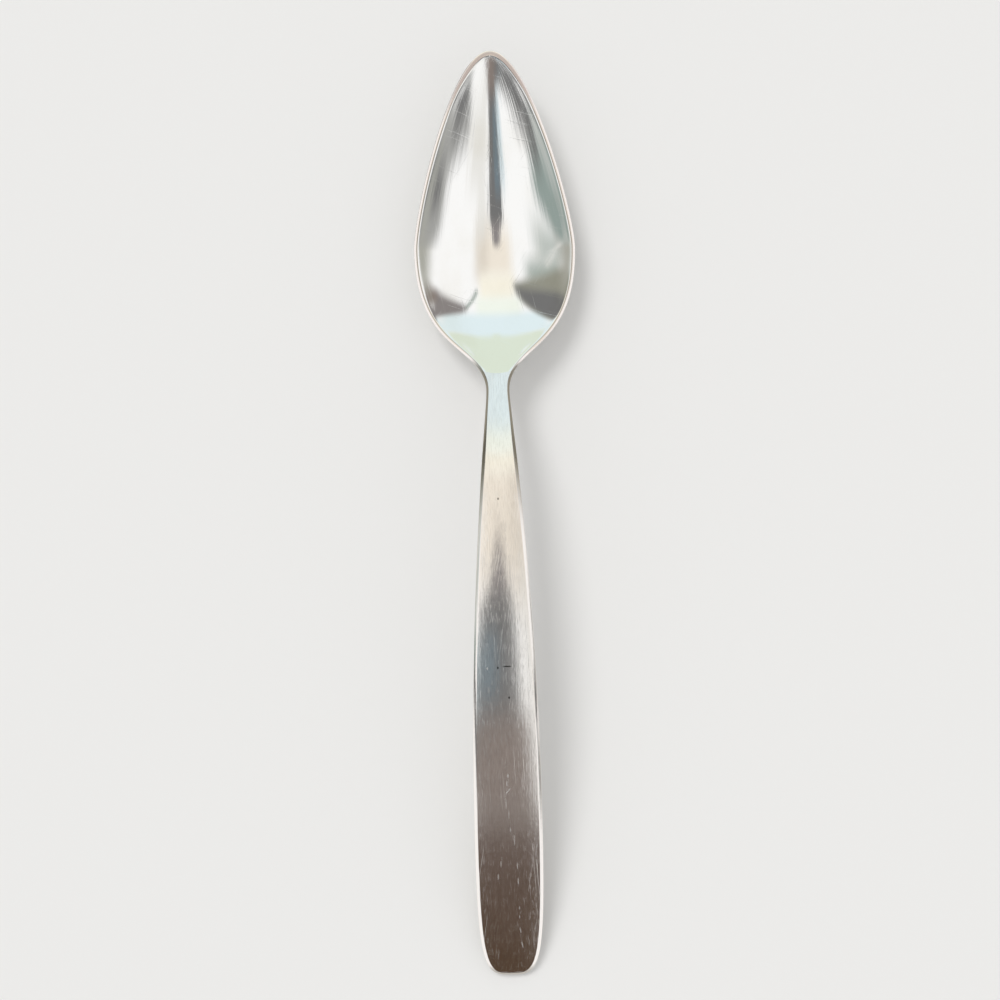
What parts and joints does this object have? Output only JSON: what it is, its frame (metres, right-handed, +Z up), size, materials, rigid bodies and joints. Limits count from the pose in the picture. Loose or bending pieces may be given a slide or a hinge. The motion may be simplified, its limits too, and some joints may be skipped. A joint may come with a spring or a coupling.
{
  "type": "grapefruit spoon",
  "caption": "Grapefruit spoon with a deep pointed bowl, a narrow smooth rim, a narrow neck and an arched flat handle that widens to a rounded end.",
  "frame": {"origin": "on the table surface that the spoon lies on, under the middle of its length and width", "axes": "+Y along the spoon from the handle's end to the bowl's tip, +Z up out of the open side of the bowl, +X to the right when looking along +Y"},
  "size_m": [0.027, 0.155, 0.0168],
  "materials": {
    "polished_silver": "mirror polished silver plate with fine use scratches",
    "satin_silver": "worn satin silver plate with scratches along its length"
  },
  "bodies": {
    "root": {"bowl": "polished_silver", "handle": "satin_silver"}
  },
  "joints": []
}
